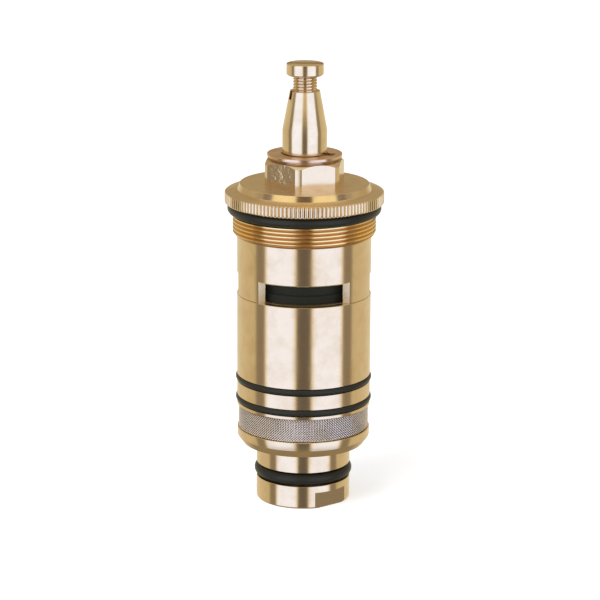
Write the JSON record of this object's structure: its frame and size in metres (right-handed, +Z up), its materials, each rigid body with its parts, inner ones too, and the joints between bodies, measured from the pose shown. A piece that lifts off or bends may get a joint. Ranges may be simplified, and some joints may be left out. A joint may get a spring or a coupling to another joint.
{
  "type": "mixing valve cartridge",
  "caption": "Turned brass cartridge that mixes hot and cold water by a wax element, with handle spindle, hexagon, knurled flange, mounting thread, side windows, strainer and outlet nipple.",
  "frame": {"origin": "centre of the outlet nipple's bottom face, on the cartridge's axis", "axes": "+Z up along the axis from the outlet nipple to the handle screw; -Y is the front, where one of the three windows faces; the screwdriver slot runs along X"},
  "size_m": [0.04, 0.04, 0.1123],
  "materials": {
    "turned_brass": "fine turned satin",
    "spindle_brass": "fine turned satin",
    "screw_brass": "fine turned satin",
    "inner_brass": "turned",
    "washer_brass": "stamped, slightly coppery",
    "capsule_copper": "drawn copper",
    "strainer_steel": "woven fine wire",
    "spring_steel": "drawn wire",
    "pin_steel": "ground",
    "seal_rubber": "moulded, slightly glossy",
    "shuttle_plastic": "moulded black",
    "bearing_plastic": "moulded",
    "element_wax": "wax with copper powder"
  },
  "bodies": {
    "housing": {"upper_body": "turned_brass", "lower_body": "turned_brass", "outlet_cap": "turned_brass", "strainer_sleeve": "strainer_steel", "stop_washer": "washer_brass", "thrust_washer": "bearing_plastic", "flange_oring": "seal_rubber", "body_oring_upper": "seal_rubber", "body_oring_lower": "seal_rubber", "outlet_oring": "seal_rubber", "return_spring": "spring_steel"},
    "spindle": {"spindle": "spindle_brass", "handle_screw": "screw_brass", "spindle_oring_upper": "seal_rubber", "spindle_oring_lower": "seal_rubber"},
    "regulator": {"regulating_nut": "inner_brass", "cup_snap_ring": "spring_steel", "overload_spring": "spring_steel"},
    "overload": {"overload_cup": "inner_brass", "piston_pin": "pin_steel"},
    "element": {"shuttle": "shuttle_plastic", "shuttle_oring": "seal_rubber", "seat_seal": "seal_rubber", "element_clip": "spring_steel", "capsule_guide": "inner_brass", "wax_capsule": "capsule_copper", "wax_charge": "element_wax", "capsule_diaphragm": "seal_rubber"}
  },
  "joints": [
    {"name": "spindle_turn", "type": "hinge", "parent": "housing", "child": "spindle", "pos_m": [0, 0, 0.09], "axis": [0, 0, 1], "range_deg": [-150, 150]},
    {"name": "nut_slide", "type": "slide", "parent": "housing", "child": "regulator", "axis": [0, 0, 1], "range_m": [-0.00063, 0.00063]},
    {"name": "overload_slide", "type": "slide", "parent": "regulator", "child": "overload", "axis": [0, 0, 1], "range_m": [0, 0.001], "stiffness_N_per_m": 10000, "springref_m": -0.003, "deforming": ["overload_spring"]},
    {"name": "thermal_stroke", "type": "slide", "parent": "overload", "child": "element", "axis": [0, 0, -1], "range_m": [0, 0.001], "stiffness_N_per_m": 3000, "springref_m": -0.003, "deforming": ["return_spring"]}
  ],
  "couplings": [
    {"joint": "spindle_turn", "follows": "nut_slide", "rad_per_m": 4188.8}
  ]
}
